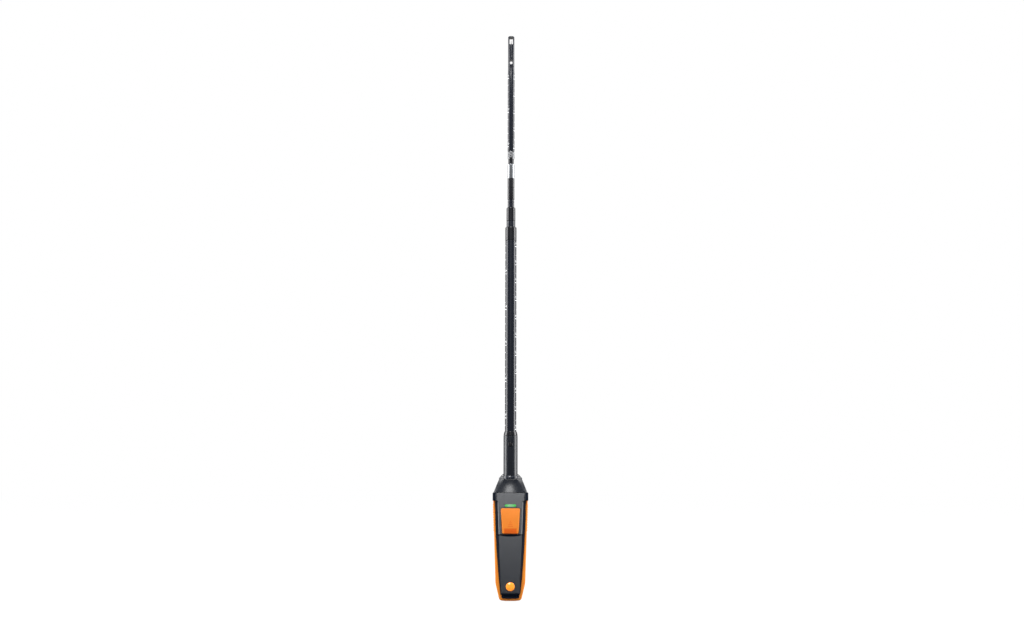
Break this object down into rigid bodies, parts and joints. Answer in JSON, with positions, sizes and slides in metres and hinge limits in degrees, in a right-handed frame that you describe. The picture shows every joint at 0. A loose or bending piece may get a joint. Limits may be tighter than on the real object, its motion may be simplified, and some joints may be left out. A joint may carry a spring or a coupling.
{
  "type": "hot-wire air velocity probe",
  "caption": "Telescopic hot-wire air velocity probe with a slim battery handle, an orange measure key, a status light and an open sensor head.",
  "frame": {"origin": "under the shaft's axis, at the bottom of the handle", "axes": "+Z along the shaft towards the sensor head, -Y out of the handle's front face, +X to the right as the key is faced"},
  "size_m": [0.0482, 0.038, 0.7898],
  "materials": {
    "charcoal_abs": "fine-textured charcoal ABS",
    "black_abs": "satin black ABS",
    "orange_tpe": "soft orange thermoplastic rubber",
    "orange_abs": "satin orange ABS",
    "green_light": "translucent green acrylic",
    "satin_black": "satin black anodised tube",
    "gloss_black": "polished black nylon",
    "chrome": "bright chrome plate",
    "nickel": "nickel plate",
    "steel": "stainless steel",
    "rubber": "black nitrile rubber",
    "circuit_board": "green solder mask on glass-epoxy board",
    "acetal": "natural acetal",
    "cell_jacket": "printed shrink film over a steel can",
    "ceramic": "glazed ceramic bead"
  },
  "bodies": {
    "handle": {"front_shell": "charcoal_abs", "rear_shell": "black_abs", "grip_band": "orange_tpe", "top_collar": "black_abs", "main_board": "circuit_board", "key_switch": "steel", "status_led": "acetal", "radio_module": "nickel", "status_light": "green_light", "button_gasket": "rubber", "badge": "orange_abs", "battery_1": "cell_jacket", "battery_2": "cell_jacket", "battery_3": "cell_jacket", "battery_spring_1": "steel", "battery_spring_2": "steel", "battery_spring_3": "steel", "battery_tray": "acetal", "contact_plate_lower": "nickel", "contact_plate_upper": "nickel", "housing_screw_1": "steel", "housing_screw_2": "steel", "housing_screw_3": "steel", "housing_screw_4": "steel", "socket_block": "black_abs"},
    "battery_cover": {"battery_cover": "black_abs"},
    "measure_button": {"measure_button": "orange_abs"},
    "adapter": {"adapter_cone": "satin_black", "adapter_plug": "gloss_black", "adapter_seal": "rubber", "neck_ring": "satin_black", "adapter_sleeve": "satin_black", "sleeve_cap": "gloss_black", "probe_socket": "gloss_black"},
    "release_button": {"release_button": "gloss_black"},
    "stage_a": {"tube_a": "satin_black", "collar_a": "gloss_black", "bush_a": "acetal", "telescope_plug": "gloss_black", "lead_coil_a": "rubber"},
    "stage_b": {"tube_b": "satin_black", "collar_b": "gloss_black", "bush_b": "acetal", "guide_ring_b": "acetal", "lead_coil_b": "rubber"},
    "stage_c": {"tube_c": "satin_black", "guide_ring_c": "acetal", "coupling_sleeve": "gloss_black", "ferrule": "chrome", "neck_core": "gloss_black", "head_tube": "satin_black", "head_core": "acetal", "probe_tip": "satin_black", "sensor_stem": "steel", "sensor_bead": "ceramic", "sensor_lead": "rubber"},
    "coupling_nut": {"coupling_nut": "nickel"}
  },
  "joints": [
    {"name": "measure_press", "type": "slide", "parent": "handle", "child": "measure_button", "axis": [0, 1, 0], "range_m": [0, 0.001], "stiffness_N_per_m": 2500},
    {"name": "cover_lift", "type": "slide", "parent": "handle", "child": "battery_cover", "axis": [0, 1, 0], "range_m": [0, 0.02]},
    {"name": "adapter_unplug", "type": "slide", "parent": "handle", "child": "adapter", "axis": [0, 0, 1], "range_m": [0, 0.025]},
    {"name": "release_press", "type": "slide", "parent": "adapter", "child": "release_button", "axis": [0, 1, 0], "range_m": [0, 0.0006], "stiffness_N_per_m": 3000},
    {"name": "telescope_unplug", "type": "slide", "parent": "adapter", "child": "stage_a", "axis": [0, 0, 1], "range_m": [0, 0.05]},
    {"name": "stage_b_slide", "type": "slide", "parent": "stage_a", "child": "stage_b", "axis": [0, 0, 1], "range_m": [-0.008, 0.2], "deforming": ["lead_coil_a"]},
    {"name": "stage_c_slide", "type": "slide", "parent": "stage_b", "child": "stage_c", "axis": [0, 0, 1], "range_m": [-0.01, 0.2], "deforming": ["lead_coil_b"]},
    {"name": "nut_turn", "type": "hinge", "parent": "stage_c", "child": "coupling_nut", "pos_m": [0, 0, 0.615], "axis": [0, 0, 1], "range_deg": [0, 360]}
  ]
}
